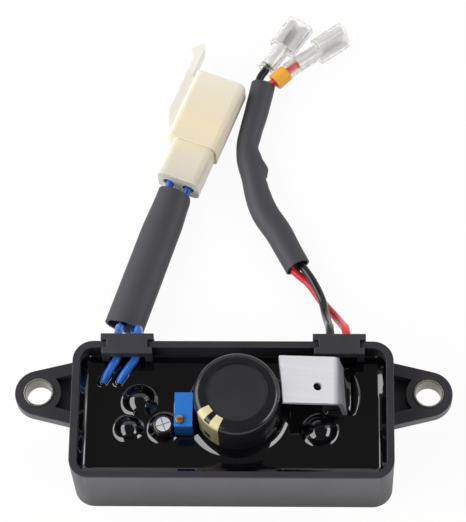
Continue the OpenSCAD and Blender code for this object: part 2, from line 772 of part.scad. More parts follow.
module potting_resin() {
    color([0.05, 0.05, 0.06])
        difference() {
            union() {
                translate([0, 0, floor_t]) linear_extrude(resin_z - floor_t) resin_plan();
                intersection() {
                    climb();
                    translate([0, 0, floor_t]) linear_extrude(body_h) resin_plan();
                }
                dome(dome1_p, dome1_r);
                dome(dome2_p, dome2_r);
                dome(dome3_p, dome3_r);
                translate([cap_x, cap_y, resin_z]) skirt(cap_r, cap_skirt_r);
            }
            // Room for the slides and the leads at the back wall
            for (side = [-1, 1])
                translate([side * slide_x - slide_in_w / 2 - slide_gap,
                        in_d / 2 - slide_in_t - slide_gap - 1, resin_z + 0.5])
                    cube([slide_in_w + 2 * slide_gap, slide_in_t + slide_gap + 2, body_h]);
            // Posts and board
            for (i = [-1, 1], j = [-1, 1])
                translate([i * (in_w / 2 - 4.5), j * (in_d / 2 - 4), floor_t - 1])
                    cylinder(r = post_r + resin_gap, h = post_h + 1.1);
            translate([0, 0, board_z - resin_gap]) linear_extrude(board_t + 2 * resin_gap)
                rounded(in_w - 2 * board_gap + 2 * resin_gap, in_d - 2 * board_gap + 2 * resin_gap,
                    in_r + resin_gap);
            // Components
            translate([cap_x, cap_y, board_top]) cylinder(r = cap_r + resin_gap, h = cap_top);
            for (p = cap_leads()) lead(p, cap_pin_r, board_top, resin_gap);
            translate([trim_x - trim_w / 2 - resin_gap, trim_y - trim_l / 2 - resin_gap,
                    trim_top - trim_h - resin_gap])
                cube([trim_w + 2 * resin_gap, trim_l + 2 * resin_gap, trim_h]);
            for (p = trim_leads()) lead(p, lead_r, trim_top - trim_h, resin_gap);
            sink_solid(resin_gap);
            tran_solid(resin_gap);
            for (j = [-1, 0, 1]) tran_lead(j, resin_gap);
            translate([small_p[0], small_p[1], board_top])
                cylinder(r = small_d / 2 + resin_gap, h = small_top);
            for (p = concat(small_leads(), film_leads(), radial_leads(dome1_p), radial_leads(dome2_p)))
                lead(p, lead_r, board_top + stand, resin_gap);
            radial_solid(dome1_p, radial1_d, resin_gap);
            radial_solid(dome2_p, radial2_d, resin_gap);
            film_solid(resin_gap);
            for (p = diode_p) axial(p, diode_d, diode_l, resin_gap);
            for (p = resistor_p) axial(p, resistor_d, resistor_l, resin_gap);
            // Leads
            for (r = [blue1_route, blue2_route]) lead_way(r, blue_r + cord_gap);
            for (r = [red_route, black_route]) lead_way(r, red_r + cord_gap);
        }
}

// Way of a lead up from the board and out of the resin towards the back wall
module lead_way(route, r) {
    a = route[1];
    d = route[2] - a;
    lead(route[0], r, a[2], 0.2);
    translate(a) sphere(1.3 * r);
    translate(a) rotate([0, acos(d[2] / norm(d)), atan2(d[1], d[0])]) cylinder(r = r, h = norm(d) + 5);
}

// Slides: two flanges, a neck in the slot of the wall, and an arch over the leads
module grommet(side) {
    y0 = body_d / 2 - wall;
    color([0.16, 0.16, 0.17])
        translate([side * slide_x, 0, 0]) difference() {
            union() {
                translate([-slide_neck / 2 + slide_gap, y0 - slide_gap, slot_z + slide_gap])
                    cube([slide_neck - 2 * slide_gap, wall + 2 * slide_gap, slide_top - slot_z - slide_gap]);
                translate([-slide_out_w / 2, y0 + wall + slide_gap, slot_z - 1])
                    cube([slide_out_w, slide_out_t, slide_top - slot_z + 1]);
                translate([-slide_in_w / 2, y0 - slide_in_t - slide_gap, resin_z + 0.6])
                    cube([slide_in_w, slide_in_t, slide_top - resin_z - 0.6]);
            }
            translate([-arch_w / 2, y0 - slide_in_t - 1, slot_z - 2])
                cube([arch_w, wall + slide_in_t + slide_out_t + 3, arch_h + 2]);
        }
}

// Leads and sleeves
module blue_wire(i) {
    color([0.1, 0.35, 0.85]) cord(i == 1 ? blue1_route : blue2_route, blue_r);
}

module red_wire() {
    color([0.8, 0.1, 0.12]) cord(red_route, red_r);
}

module black_wire() {
    color([0.06, 0.06, 0.06]) cord(black_route, red_r);
}

module sleeve_left() {
    a = sleeve1_route[0];
    d = sleeve1_route[1] - a;
    color([0.12, 0.12, 0.13])
        translate(a) rotate([0, 0, atan2(d[1], d[0]) - 90]) rotate([-90, 0, 0])
            linear_extrude(norm(d)) difference() {
            stadium(sleeve1_w, sleeve1_h);
            stadium(sleeve1_w - 2 * sleeve1_t, sleeve1_h - 2 * sleeve1_t);
        }
}

module sleeve_right() {
    color([0.12, 0.12, 0.13]) bent_sleeve(sleeve2_route, sleeve2_w, sleeve2_h, sleeve2_t);
}

module marker_sleeve() {
    color([0.95, 0.6, 0.1])
        translate(marker_p) rotate([0, 0, marker_turn]) rotate([marker_rise - 90, 0, 0]) difference() {
            cylinder(r = marker_d / 2, h = marker_l);
            translate([0, 0, -1]) cylinder(r = red_r + 2 * cord_gap, h = marker_l + 2);
        }
}

// Connector, in its own axes: X across, Y from the leads to the mouth, Z up
module at_connector() {
    translate(con_p) rotate([0, 0, con_turn]) children();
}

con_l = con_rear_l + con_front_l;
con_mid = blue1_route[len(blue1_route) - 1][2] - con_p[2];
module connector_housing() {
    left = con_right - con_front_w;
    arm = left - latch_gap;
    out = arm - latch_t;
    foot = con_rear_l + 0.6;
    tip = con_l + latch_reach;
    color([0.93, 0.9, 0.82])
        at_connector() {
            difference() {
                union() {
                    translate([0, 0, con_mid]) rotate([-90, 0, 0]) linear_extrude(con_rear_l + 1)
                        rounded(con_rear_w, con_rear_h, con_rear_r);
                    translate([left + con_front_w / 2, con_rear_l, con_front_h / 2]) rotate([-90, 0, 0])
                        linear_extrude(con_front_l) rounded(con_front_w, con_front_h, con_front_r);
                }
                translate([left + con_front_w / 2, con_rear_l + con_wall, con_front_h / 2])
                    rotate([-90, 0, 0]) linear_extrude(con_front_l)
                        rounded(con_front_w - 2 * con_wall, con_front_h - 2 * con_wall, con_front_r - 1);
                for (i = [-1, 1]) {
                    translate([i * chamber_pitch / 2 - chamber / 2, con_wall, con_mid - chamber_h / 2])
                        cube([chamber, con_rear_l + 2, chamber_h]);
                    translate([i * chamber_pitch / 2, -1, con_mid]) rotate([-90, 0, 0])
                        cylinder(r = entry_d / 2, h = con_wall + 2);
                }
            }
            translate([0, 0, con_mid - latch_w / 2]) linear_extrude(latch_w)
                polygon([[left + 0.5, foot], [left + 0.5, foot + latch_root],
                    [arm, foot + latch_root + latch_bow],
                    [arm, tip - 0.3 * hook_l], [arm - 0.3 * latch_t, tip],
                    [out - hook_h, tip - 0.6 * hook_l], [out, tip - hook_l],
                    [out, foot + latch_root + latch_bow + 1], [out + 0.4 * latch_t, foot + latch_bow + 0.8]]);
        }
}

module connector_terminal(i) {
    side = i == 1 ? -1 : 1;
    color([0.8, 0.8, 0.78])
        at_connector() translate([side * chamber_pitch / 2, blue_in + 0.1, con_mid]) {
            rotate([-90, 0, 0]) cylinder(r = 1.3, h = 4.4);
            translate([0, 4, 0]) rotate([-90, 0, 0]) linear_extrude(contact_l) difference() {
                square([contact_w, contact_h], center = true);
                square([contact_w - 2 * spade_t, contact_h - 2 * spade_t], center = true);
                translate([0, -contact_h / 2]) square([contact_w * 0.3, contact_h], center = true);
            }
            translate([-contact_w / 2, 3.6, -contact_h / 2]) cube([contact_w, 0.8, contact_h]);
        }
}

// Spade terminals and their clear boots, in their own axes: Y from the lead to the mouth
module at_boot(red) {
    translate(red ? boot_red_p : boot_black_p)
        rotate([0, 0, red ? boot_red_turn : boot_black_turn])
            rotate([0, red ? boot_red_roll : 0, 0]) children();
}

module spade_terminal(red) {
    color([0.82, 0.82, 0.8])
        at_boot(red) {
            translate([0, red_in - 3.4, 0]) rotate([-90, 0, 0]) difference() {
                cylinder(r = red_r + cord_gap + spade_t, h = 3.5);
                translate([0, 0, -1]) cylinder(r = red_r + cord_gap, h = 5);
            }
            translate([0, red_in + 0.05, 0]) rotate([-90, 0, 0])
                cylinder(r = red_r + cord_gap + spade_t, h = neck_l - red_in + 0.4);
            translate([0, neck_l + 0.4, 0]) rotate([-90, 0, 0]) linear_extrude(spade_l) difference() {
                rounded(spade_w, spade_h, 0.9);
                rounded(spade_w - 2 * spade_t, spade_h - 2 * spade_t, 0.4);
                translate([0, -spade_h / 2]) square([spade_w * 0.35, spade_h], center = true);
            }
            translate([-spade_w / 2 + 0.9, neck_l + 0.2, -spade_h / 2]) cube([spade_w - 1.8, 0.6, spade_h]);
        }
}

module terminal_boot(red) {
    more = red ? neck_more : 0;
    color([0.9, 0.9, 0.9, 0.4])
        at_boot(red) difference() {
            union() {
                translate([0, -more, 0]) rotate([-90, 0, 0]) cylinder(r = neck_r, h = neck_l + more);
                translate([0, neck_l - 0.6, 0]) rotate([-90, 0, 0])
                    linear_extrude(boot_l) rounded(boot_w, boot_h, 1);
            }
            translate([0, -more - 1, 0]) rotate([-90, 0, 0])
                cylinder(r = neck_r - boot_t, h = neck_l + more + 2);
            translate([0, neck_l - 0.6 + boot_t, 0]) rotate([-90, 0, 0]) linear_extrude(boot_l)
                rounded(boot_w - 2 * boot_t, boot_h - 2 * boot_t, 0.5);
        }
}

housing();
mounting_bush(-1);  // mounting_bush_left
mounting_bush(1);  // mounting_bush_right
potting_resin();
circuit_board();
main_capacitor_can();
main_capacitor_sleeve();
main_capacitor_disc();
main_capacitor_seal();
main_capacitor_pins();
trimmer_body();
trimmer_screw();
trimmer_pins();
heat_sink();
power_transistor();
transistor_leads();
small_capacitor_can();
small_capacitor_sleeve();
small_capacitor_leads();
radial_capacitor(dome1_p, radial1_d);  // radial_capacitor_1
radial_capacitor(dome2_p, radial2_d);  // radial_capacitor_2
film_capacitor();
diode(0);  // diode_1
diode(1);  // diode_2
diode(2);  // diode_3
diode(3);  // diode_4
resistor(0);  // resistor_1
resistor(1);  // resistor_2
grommet(-1);  // grommet_left
grommet(1);  // grommet_right
blue_wire(1);  // blue_wire_1
blue_wire(2);  // blue_wire_2
red_wire();
black_wire();
sleeve_left();
sleeve_right();
connector_housing();
connector_terminal(1);  // connector_terminal_1
connector_terminal(2);  // connector_terminal_2
spade_terminal(false);  // spade_terminal_black
spade_terminal(true);  // spade_terminal_red
terminal_boot(false);  // terminal_boot_black
terminal_boot(true);  // terminal_boot_red
marker_sleeve();
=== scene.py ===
import math

import bmesh
import bpy
from mathutils import Matrix, Vector


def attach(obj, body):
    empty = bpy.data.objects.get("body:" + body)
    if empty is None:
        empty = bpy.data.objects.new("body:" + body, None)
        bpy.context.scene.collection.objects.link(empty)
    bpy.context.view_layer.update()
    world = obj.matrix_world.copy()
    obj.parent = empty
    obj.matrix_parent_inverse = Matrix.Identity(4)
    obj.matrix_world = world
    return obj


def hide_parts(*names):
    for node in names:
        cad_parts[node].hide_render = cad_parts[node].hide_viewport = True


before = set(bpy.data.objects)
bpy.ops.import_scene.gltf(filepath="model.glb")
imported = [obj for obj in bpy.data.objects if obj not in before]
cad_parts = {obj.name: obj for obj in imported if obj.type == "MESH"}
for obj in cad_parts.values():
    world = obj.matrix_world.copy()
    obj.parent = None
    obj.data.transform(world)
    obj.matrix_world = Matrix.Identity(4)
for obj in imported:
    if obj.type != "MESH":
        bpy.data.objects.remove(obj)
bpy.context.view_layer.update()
bpy.ops.object.select_all(action="DESELECT")
MM = 0.001


# ---- Tray
# The open box that everything sits in: one injection moulding in black glass-filled plastic,
# with two ears for the bolts and two slots in the back wall for the leads. Its edges are
# slightly rounded from the mould, and the faces keep a fine spark-eroded grain.

class Tap:
    """One output of a finish's nodes, with the sums that the finishes need."""

    def __init__(self, finish, socket):
        self.finish, self.socket = finish, socket

    def twin(self, output):
        return Tap(self.finish, self.socket.node.outputs[output])

    def sum(self, operation, first, second=None):
        sockets = {0: first} if second is None else {0: first, 1: second}
        return self.finish.node("ShaderNodeMath", {"operation": operation}, sockets)

    def __add__(self, other):
        return self.sum("ADD", self, other)

    def __radd__(self, other):
        return self.sum("ADD", other, self)

    def __sub__(self, other):
        return self.sum("SUBTRACT", self, other)

    def __rsub__(self, other):
        return self.sum("SUBTRACT", other, self)

    def __mul__(self, other):
        return self.sum("MULTIPLY", self, other)

    def __rmul__(self, other):
        return self.sum("MULTIPLY", other, self)

    def __truediv__(self, other):
        return self.sum("DIVIDE", self, other)

    def __gt__(self, other):
        return self.sum("GREATER_THAN", self, other)

    def __lt__(self, other):
        return self.sum("LESS_THAN", self, other)

    def __abs__(self):
        return self.sum("ABSOLUTE", self)

    def at_least(self, other):
        return self.sum("MAXIMUM", self, other)

    def at_most(self, other):
        return self.sum("MINIMUM", self, other)

    def clamped(self):
        return self.at_least(0).at_most(1)

    def root(self):
        return self.sum("SQRT", self)


class Finish:
    """A material built from its shader's own sockets and a few procedural nodes."""

    def __init__(self, name, **sockets):
        self.material = bpy.data.materials.new(name)
        self.material.use_nodes = True
        self.tree = self.material.node_tree
        self.shader = self.tree.nodes["Principled BSDF"]
        self.set(**sockets)

    def node(self, kind, settings, sockets, output=0):
        made = self.tree.nodes.new(kind)
        for key, value in settings.items():
            setattr(made, key, value)
        for key, value in sockets.items():
            self.plug(made.inputs[key], value)
        return Tap(self, made.outputs[output])

    def plug(self, socket, value):
        if isinstance(value, Tap):
            self.tree.links.new(value.socket, socket)
        elif socket.type == "RGBA":
            socket.default_value = (*value, 1)
        else:
            socket.default_value = value

    def set(self, **sockets):
        for key, value in sockets.items():
            self.plug(self.shader.inputs[key.replace("_", " ")], value)

    def fed(self, socket):
        return Tap(self, self.shader.inputs[socket].links[0].from_socket)

    def place(self):
        return self.node("ShaderNodeTexCoord", {}, {}, "Object")

    def axes(self):
        x = self.node("ShaderNodeSeparateXYZ", {}, {0: self.place()})
        return x, x.twin("Y"), x.twin("Z")

    def noise(self, scale, detail=3, vector=None):
        return self.node("ShaderNodeTexNoise", {}, {
            "Vector": vector or self.place(), "Scale": scale, "Detail": detail, "Roughness": 0.55})

    def blend(self, factor, first, second):
        return self.node("ShaderNodeMix", {"data_type": "RGBA"}, {0: factor, 6: first, 7: second}, 2)

    def bump(self, height, strength, distance):
        self.set(Normal=self.node("ShaderNodeBump", {}, {
            "Height": height, "Strength": strength, "Distance": distance}))
        return self


def faced(piece):
    """Shades the flat faces of a piece flat and its roundings smooth."""
    bpy.context.view_layer.objects.active = piece
    piece.select_set(True)
    bpy.ops.object.shade_smooth_by_angle(angle=math.radians(35))
    facing = piece.modifiers.new("facing", "WEIGHTED_NORMAL")
    facing.keep_sharp = True
    facing.weight = 80
    bpy.ops.object.modifier_apply(modifier="facing")
    piece.select_set(False)


def softened(node, name, width, segments=3):
    """A copy of a solid, in its place, with its flat faces joined and its sharp edges rounded."""
    piece = bpy.data.objects.new(name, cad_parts[node].data.copy())
    bpy.context.scene.collection.objects.link(piece)
    piece.data.materials.clear()
    bpy.context.view_layer.objects.active = piece
    piece.select_set(True)
    bpy.ops.mesh.customdata_custom_splitnormals_clear()
    bpy.ops.object.mode_set(mode="EDIT")
    bpy.ops.mesh.select_all(action="SELECT")
    bpy.ops.mesh.remove_doubles(threshold=0.002 * MM)
    bpy.ops.mesh.dissolve_limited(angle_limit=math.radians(1))
    bpy.ops.object.mode_set(mode="OBJECT")
    rounding = piece.modifiers.new("rounding", "BEVEL")
    rounding.width = width * MM
    rounding.segments = segments
    rounding.limit_method = "ANGLE"
    rounding.angle_limit = math.radians(28)
    rounding.use_clamp_overlap = True
    rounding.miter_outer = "MITER_ARC"
    bpy.ops.object.modifier_apply(modifier="rounding")
    faced(piece)
    return piece


def seat(piece, node, body, material):
    """Gives a piece its finish, and puts it in the place of its solid."""
    piece.data.materials.append(material)
    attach(piece, body)
    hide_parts(node)


def moulded(name, colour, rough, grain=900, height=0.02, shade=0.25):
    """Moulded plastic: a fine grain, a slow change of shade, and a little wear in its shine."""
    made = Finish(name)
    cloud = made.noise(70, 4)
    fine = made.noise(grain, 2)
    dark = [c * (1 - shade) for c in colour]
    light = [min(1, c * (1 + shade)) for c in colour]
    made.set(Base_Color=made.blend(cloud, dark, light), Roughness=rough - 0.08 + 0.16 * cloud)
    return made.bump(fine, 0.35, height * MM)


BOLT = (52.5, 7.4)
TRAY_W, TRAY_D, TRAY_H = 86.0, 39.0, 23.0
EAR_HALF, EAR_LIFT = 9.8, 1.4
EAR_UNDER, POCKET_TOP = (9.9, 11.2), 14.9

tray_plastic = moulded("tray_plastic", (0.029, 0.027, 0.033), 0.42, grain=2600, height=0.03)
tray_x, tray_y, tray_z = tray_plastic.axes()
# The ears below the pocket tops, pockets and outer faces alike, are painted lighter than the rest of
# the plastic: painted light where their hollows lie in shade.
ear_pocket_painted_light = (abs(tray_x) > (TRAY_W / 2 + 0.2) * MM) * (tray_z < POCKET_TOP * MM)
shade = tray_plastic.blend(ear_pocket_painted_light, tray_plastic.fed("Base Color"), (0.075, 0.072, 0.085))
# The front wall is painted near black at its foot, rising to lighter than the rest of the tray at its
# top: painted shade low down, where the floor close to the tray lies in its shadow.
front_wall_painted_shade = tray_plastic.blend(tray_z / (TRAY_H * MM), (0.004, 0.004, 0.005), (0.07, 0.067, 0.075))
on_front = tray_y < (0.3 - TRAY_D / 2) * MM
tray_plastic.set(Base_Color=tray_plastic.blend(on_front, shade, front_wall_painted_shade))
tray = softened("housing", "tray", 0.4)
# The ears are thinner at the visible edge, so their underside is lifted.
for vertex in tray.data.vertices:
    place = vertex.co / MM
    on_ear = abs(place.x) > TRAY_W / 2 - 0.1 and abs(place.y - BOLT[1]) < EAR_HALF
    if on_ear and EAR_UNDER[0] < place.z < EAR_UNDER[1]:
        vertex.co.z += EAR_LIFT * MM
seat(tray, "housing", "regulator", tray_plastic.material)


# ---- Bushes
# A short steel tube pressed into each ear, so that the bolt bears on metal. It is turned from
# bar and zinc plated, so fine rings from the tool run round its ends.
BORE_EDGE_R = 3.56
zinc = Finish("zinc_plate", Metallic=1.0)
rings = zinc.noise(900, 2)
bush_x, bush_y, _ = zinc.axes()
off_x, off_y = abs(bush_x) - BOLT[0] * MM, bush_y - BOLT[1] * MM
# The bore is painted much darker than the plated ends: painted shade inside the tube.
bore = (off_x * off_x + off_y * off_y).root() < BORE_EDGE_R * MM
plated = zinc.blend(rings, (0.62, 0.58, 0.48), (0.86, 0.83, 0.72))
bore_painted_shade = zinc.blend(rings, (0.09, 0.085, 0.075), (0.22, 0.2, 0.17))
zinc.set(Base_Color=zinc.blend(bore, plated, bore_painted_shade), Roughness=0.2 + 0.2 * rings)
zinc.bump(rings, 0.3, 0.01 * MM)
for side in ("left", "right"):
    bush = softened("mounting_bush_" + side, "bush_" + side, 0.12, 2)
    seat(bush, "mounting_bush_" + side, "regulator", zinc.material)


# ---- Board and buried parts
# The etched board and the small parts under the resin. They keep their solids, and each gets
# the finish it has before the tray is filled.
def coat(node, finish):
    """Gives its finish to a solid that is shown as it is."""
    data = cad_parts[node].data
    data.materials.clear()
    data.materials.append(finish.material)


solder_mask = Finish("solder_mask", Coat_Weight=0.4, Roughness=0.35)
traces = solder_mask.node("ShaderNodeTexVoronoi", {"feature": "DISTANCE_TO_EDGE"},
                          {"Vector": solder_mask.place(), "Scale": 260.0})
solder_mask.set(Base_Color=solder_mask.blend(traces > 0.12, (0.09, 0.26, 0.1), (0.03, 0.13, 0.05)))
tinned = Finish("tinned_metal", Metallic=1.0)
smears = tinned.noise(420)
tinned.set(Base_Color=tinned.blend(smears, (0.66, 0.65, 0.62), (0.88, 0.88, 0.86)),
           Roughness=0.2 + 0.22 * smears)
tinned.bump(smears, 0.25, 0.02 * MM)
black_epoxy = moulded("black_epoxy", (0.022, 0.022, 0.024), 0.55, grain=1800)
black_film = moulded("black_film", (0.014, 0.014, 0.016), 0.22, grain=400, height=0.01)
dipped = moulded("dipped_lacquer", (0.36, 0.09, 0.05), 0.25, grain=300)
lacquer = moulded("tan_lacquer", (0.55, 0.42, 0.27), 0.4, grain=500)
seal_rubber = moulded("seal_rubber", (0.05, 0.045, 0.04), 0.7)
bare_can = Finish("bare_can", Metallic=0.35)
drawn = bare_can.noise(350)
bare_can.set(Base_Color=bare_can.blend(drawn, (0.62, 0.62, 0.64), (0.9, 0.9, 0.92)),
             Roughness=0.22 + 0.15 * drawn)
for finish, nodes in (
        (solder_mask, ["circuit_board"]),
        (bare_can, ["main_capacitor_can"]),
        (seal_rubber, ["main_capacitor_seal"]),
        (tinned, ["main_capacitor_pins", "trimmer_pins", "transistor_leads", "small_capacitor_leads",
                  "connector_terminal_1", "connector_terminal_2"]),
        (black_film, ["radial_capacitor_1", "radial_capacitor_2"]),
        (dipped, ["film_capacitor"]),
        (black_epoxy, ["diode_1", "diode_2", "diode_3", "diode_4"]),
        (lacquer, ["resistor_1", "resistor_2"])):
    for node in nodes:
        coat(node, finish)


# ---- Main capacitor
# A tall can in a shrunk black film that curls over its shoulder and leaves a round window, with
# a thin disc under the lip. A pale stripe with two bars on it marks the negative side.
CAP = (1.45, 1.3)
CAP_R, CAP_TOP, CAP_FOOT = 11.5, 32.0, 5.7
WINDOW_R, ROLL_R = 8.2, 1.9


def chosen(piece, kind, test):
    """Selects the faces or edges of a piece in edit mode that pass a test, which gets each of them
    with its middle and its distance from the capacitor's axis."""
    shape = bmesh.from_edit_mesh(piece.data)
    bpy.ops.mesh.select_all(action="DESELECT")
    for item in getattr(shape, kind):
        middle = sum((corner.co for corner in item.verts), Vector()) / len(item.verts) / MM
        if test(item, middle, (middle.xy - Vector(CAP)).length):
            item.select = True
    shape.select_flush(False)
    bmesh.update_edit_mesh(piece.data)


bpy.ops.mesh.primitive_cylinder_add(
    vertices=160, radius=CAP_R * MM, depth=(CAP_TOP - CAP_FOOT) * MM,
    location=(CAP[0] * MM, CAP[1] * MM, (CAP_TOP + CAP_FOOT) / 2 * MM))
sleeve = bpy.context.active_object
sleeve.name = "capacitor_sleeve"
bpy.ops.object.transform_apply()
bpy.ops.object.mode_set(mode="EDIT")
bpy.ops.mesh.select_mode(type="FACE")
chosen(sleeve, "faces", lambda face, middle, off: face.normal.z > 0.9)
bpy.ops.mesh.inset(thickness=(CAP_R - WINDOW_R) * MM, depth=0)
bpy.ops.mesh.inset(thickness=0.12 * MM, depth=-0.3 * MM)
bpy.ops.mesh.select_mode(type="EDGE")
chosen(sleeve, "edges", lambda edge, middle, off: middle.z > CAP_TOP - 0.01 and off > CAP_R - 0.2)
bpy.ops.mesh.bevel(offset=ROLL_R * MM, segments=10)
bpy.ops.mesh.select_mode(type="FACE")
chosen(sleeve, "faces", lambda face, middle, off: face.normal.z > 0.9 and off < 4)
bpy.ops.mesh.inset(thickness=0.05 * MM, depth=-0.06 * MM)
bpy.ops.object.mode_set(mode="OBJECT")
bpy.ops.object.shade_smooth_by_angle(angle=math.radians(30))
sleeve.select_set(False)

film = Finish("printed_film", IOR=1.5)
at_x, at_y, at_z = film.axes()
east, north = at_x - CAP[0] * MM, at_y - CAP[1] * MM
STRIPE_WAY = math.radians(-134)
# Half the width of the stripe and of its bars, as a share of the distance from the axis.
STRIPE_HALF, TOP_BAR_HALF, SIDE_BAR_HALF = 0.33, 0.085, 0.1
STRIPE_IN, TOP_BAR_IN, SIDE_BAR_IN = 6.9, 7.6, 11.1
TOP_BAR_Z, SIDE_BAR_Z, SIDE_BAR_RISE = 30.9, 22.4, 1.6
UPPER_Z, UPPER_RISE = 29.4, 1.8
along = east * math.cos(STRIPE_WAY) + north * math.sin(STRIPE_WAY)
across = abs(north * math.cos(STRIPE_WAY) - east * math.sin(STRIPE_WAY))
reach = (east * east + north * north).root()
stripe = (across / reach < STRIPE_HALF) * (along > 0) * (reach > STRIPE_IN * MM)
top_bar = (across / reach < TOP_BAR_HALF) * (reach > TOP_BAR_IN * MM) * (at_z > TOP_BAR_Z * MM)
at_side_bar = abs(at_z - SIDE_BAR_Z * MM) < SIDE_BAR_RISE * MM
side_bar = (across / reach < SIDE_BAR_HALF) * at_side_bar * (reach > SIDE_BAR_IN * MM)
ink = stripe * (1 - top_bar) * (1 - side_bar)
ripple = film.noise(120)
# The stripe's ink is painted darker down the side of the can below the shoulder: painted shade where
# the side lies in shadow.
stripe_painted_shade_mix = ((at_z - UPPER_Z * MM) / (UPPER_RISE * MM)).at_least(0.05).at_most(1)
ink_colour = film.blend(stripe_painted_shade_mix, (0.15, 0.132, 0.07), (0.66, 0.6, 0.33))
film.set(Base_Color=film.blend(ink, (0.012, 0.0115, 0.014), ink_colour),
         Roughness=0.16 + 0.12 * ripple + 0.25 * ink)
film.bump(ripple, 0.12, 0.05 * MM)
seat(sleeve, "main_capacitor_sleeve", "regulator", film.material)

coat("main_capacitor_disc", moulded("disc_face", (0.021, 0.0205, 0.027), 0.4, grain=1200))


# ---- Trimmer
# A sealed multi-turn potentiometer in a bright blue case. Its brass screw, slotted for a small
# driver, stands out of one corner of the top and is the only piece that moves.
CASE_LOW, CASE_HIGH = 18.0, 24.4
blue_case = moulded("blue_case", (0.026, 0.21, 0.71), 0.36, grain=1500, shade=0.14)
case_z = blue_case.axes()[2]
# The sides of the case are painted dark navy, darkest at their foot, while the top keeps its own blue:
# painted shade on the sides.
on_side = ((case_z - CASE_LOW * MM) / ((CASE_HIGH - CASE_LOW) * MM)).clamped()
case_painted_shade_mix = on_side * 0.35 + 0.65 * (case_z > CASE_HIGH * MM)
blue_case.set(Base_Color=blue_case.blend(case_painted_shade_mix, (0.006, 0.03, 0.1), blue_case.fed("Base Color")))
case = softened("trimmer_body", "trimmer_case", 0.22)
seat(case, "trimmer_body", "regulator", blue_case.material)
turned_brass = Finish("turned_brass", Metallic=1.0, Roughness=0.32)
turning = turned_brass.noise(1500, 2)
turned_brass.set(Base_Color=turned_brass.blend(turning, (0.72, 0.36, 0.17), (0.92, 0.58, 0.33)))
turned_brass.bump(turning, 0.3, 0.01 * MM)
screw = softened("trimmer_screw", "adjuster_screw", 0.08, 2)
seat(screw, "trimmer_screw", "adjuster", turned_brass.material)


# ---- Heat sink and transistor
# A strip of aluminium sheet, bent over so that its top lies above the resin, with a small hole
# punched in it. The transistor is clamped to its leg and stands mostly in the resin.
BEND_X, BEND_W = 26.6, 1.8
rolled = Finish("rolled_aluminium")
stretch = rolled.node("ShaderNodeMapping", {}, {"Vector": rolled.place(), "Scale": (40.0, 900.0, 40.0)})
lines = rolled.noise(1.0, 4, vector=stretch)
# Past the bend the leg is painted dark grey, and made rougher and less metallic: painted shade on the
# bent leg, which faces away from the light.
leg_painted_shade = ((rolled.axes()[0] - BEND_X * MM) / (BEND_W * MM)).clamped()
sheet = rolled.blend(lines, (0.76, 0.76, 0.8), (0.88, 0.88, 0.92))
rolled.set(Base_Color=rolled.blend(leg_painted_shade, sheet, (0.2, 0.2, 0.22)),
           Roughness=0.44 + 0.14 * lines + 0.15 * leg_painted_shade, Metallic=0.55 - 0.45 * leg_painted_shade)
rolled.bump(lines, 0.15, 0.01 * MM)
sink = softened("heat_sink", "heat_sink_strip", 0.1, 2)
seat(sink, "heat_sink", "regulator", rolled.material)
block = softened("power_transistor", "transistor_block", 0.2, 2)
seat(block, "power_transistor", "regulator", black_epoxy.material)


# ---- Small capacitor
# A small drawn can in a shrunk black film. Its bare top carries the cross score that lets it
# vent, and its leads go down through the resin to the board.
SMALL = (-18.3, -3.8)
SCORE_HALF = 0.13
scored_can = Finish("scored_can", Metallic=0.3)
can_x, can_y, _ = scored_can.axes()
arm_x, arm_y = can_x - SMALL[0] * MM, can_y - SMALL[1] * MM
first_arm = abs(arm_x * 0.94 + arm_y * 0.34) < SCORE_HALF * MM
second_arm = abs(arm_y * 0.94 - arm_x * 0.34) < SCORE_HALF * MM
spun = scored_can.noise(600)
bare_top = scored_can.blend(spun, (0.68, 0.68, 0.7), (0.95, 0.95, 0.96))
scored_can.set(Base_Color=scored_can.blend(first_arm.at_least(second_arm), bare_top, (0.4, 0.4, 0.42)),
               Roughness=0.3 + 0.2 * spun)
top_can = softened("small_capacitor_can", "small_can", 0.06, 2)
seat(top_can, "small_capacitor_can", "regulator", scored_can.material)
small_film = softened("small_capacitor_sleeve", "small_sleeve", 0.1, 2)
seat(small_film, "small_capacitor_sleeve", "regulator", black_film.material)


# ---- Resin
# Black casting resin, poured level and left to cure. It has crept up the walls and round every
# part that stands in it, and it covers the shorter parts in glossy domes.
LEVEL, UNDERSIDE = 17.0, 9.0
IN_W, IN_D, IN_R = 82.0 - 0.04, 35.0 - 0.04, 3.48
# Each hollow edge has a size and a steepest tilt.
SIDE_EDGE, FRONT_EDGE, BACK_EDGE = (3.6, 47), (4.5, 20), (0.8, 47)
CAP_EDGE, SMALL_EDGE, TRIMMER_EDGE, LEAD_EDGE = (4.8, 50), (3.5, 56), (1.3, 68), (1.8, 68)
LEG_SIZE, LEG_TILT = 1.3, 52
SWELL_Y, SWELL_REACH = 10.4, 5.2
# Each dome has a middle, a radius, the depth of its centre under the level, and a fillet.
DOMES = (((-25, 3.8), 4.2, 0.84, 4.6),
         ((-27.6, -3.9), 3.6, 0.72, 4.6),
         ((23.4, -4.2), 4.5, 0.9, 3.4))
# Each block that stands in the resin has a middle, half its sides and a turn.
TRIMMER_BLOCK = ((-12.75, -1), (2.42, 4.77), 0)
LEG_BLOCK = ((27.6, 7.0), (2.9, 6.0), 4.2)
SMALL_R = 2.8
LEAD_FEET, LEAD_FEET_Y, LEAD_RISE = (-35.1, -30.9), 9.6, (2.6, 4.2)


def clamp(value):
    return max(0.0, min(1.0, value))


def inside(x, y):
    """Distance from a point of the resin to the tray's wall."""
    out_x, out_y = abs(x) - IN_W / 2 + IN_R, abs(y) - IN_D / 2 + IN_R
    return IN_R - math.hypot(max(out_x, 0), max(out_y, 0)) - min(max(out_x, out_y), 0)


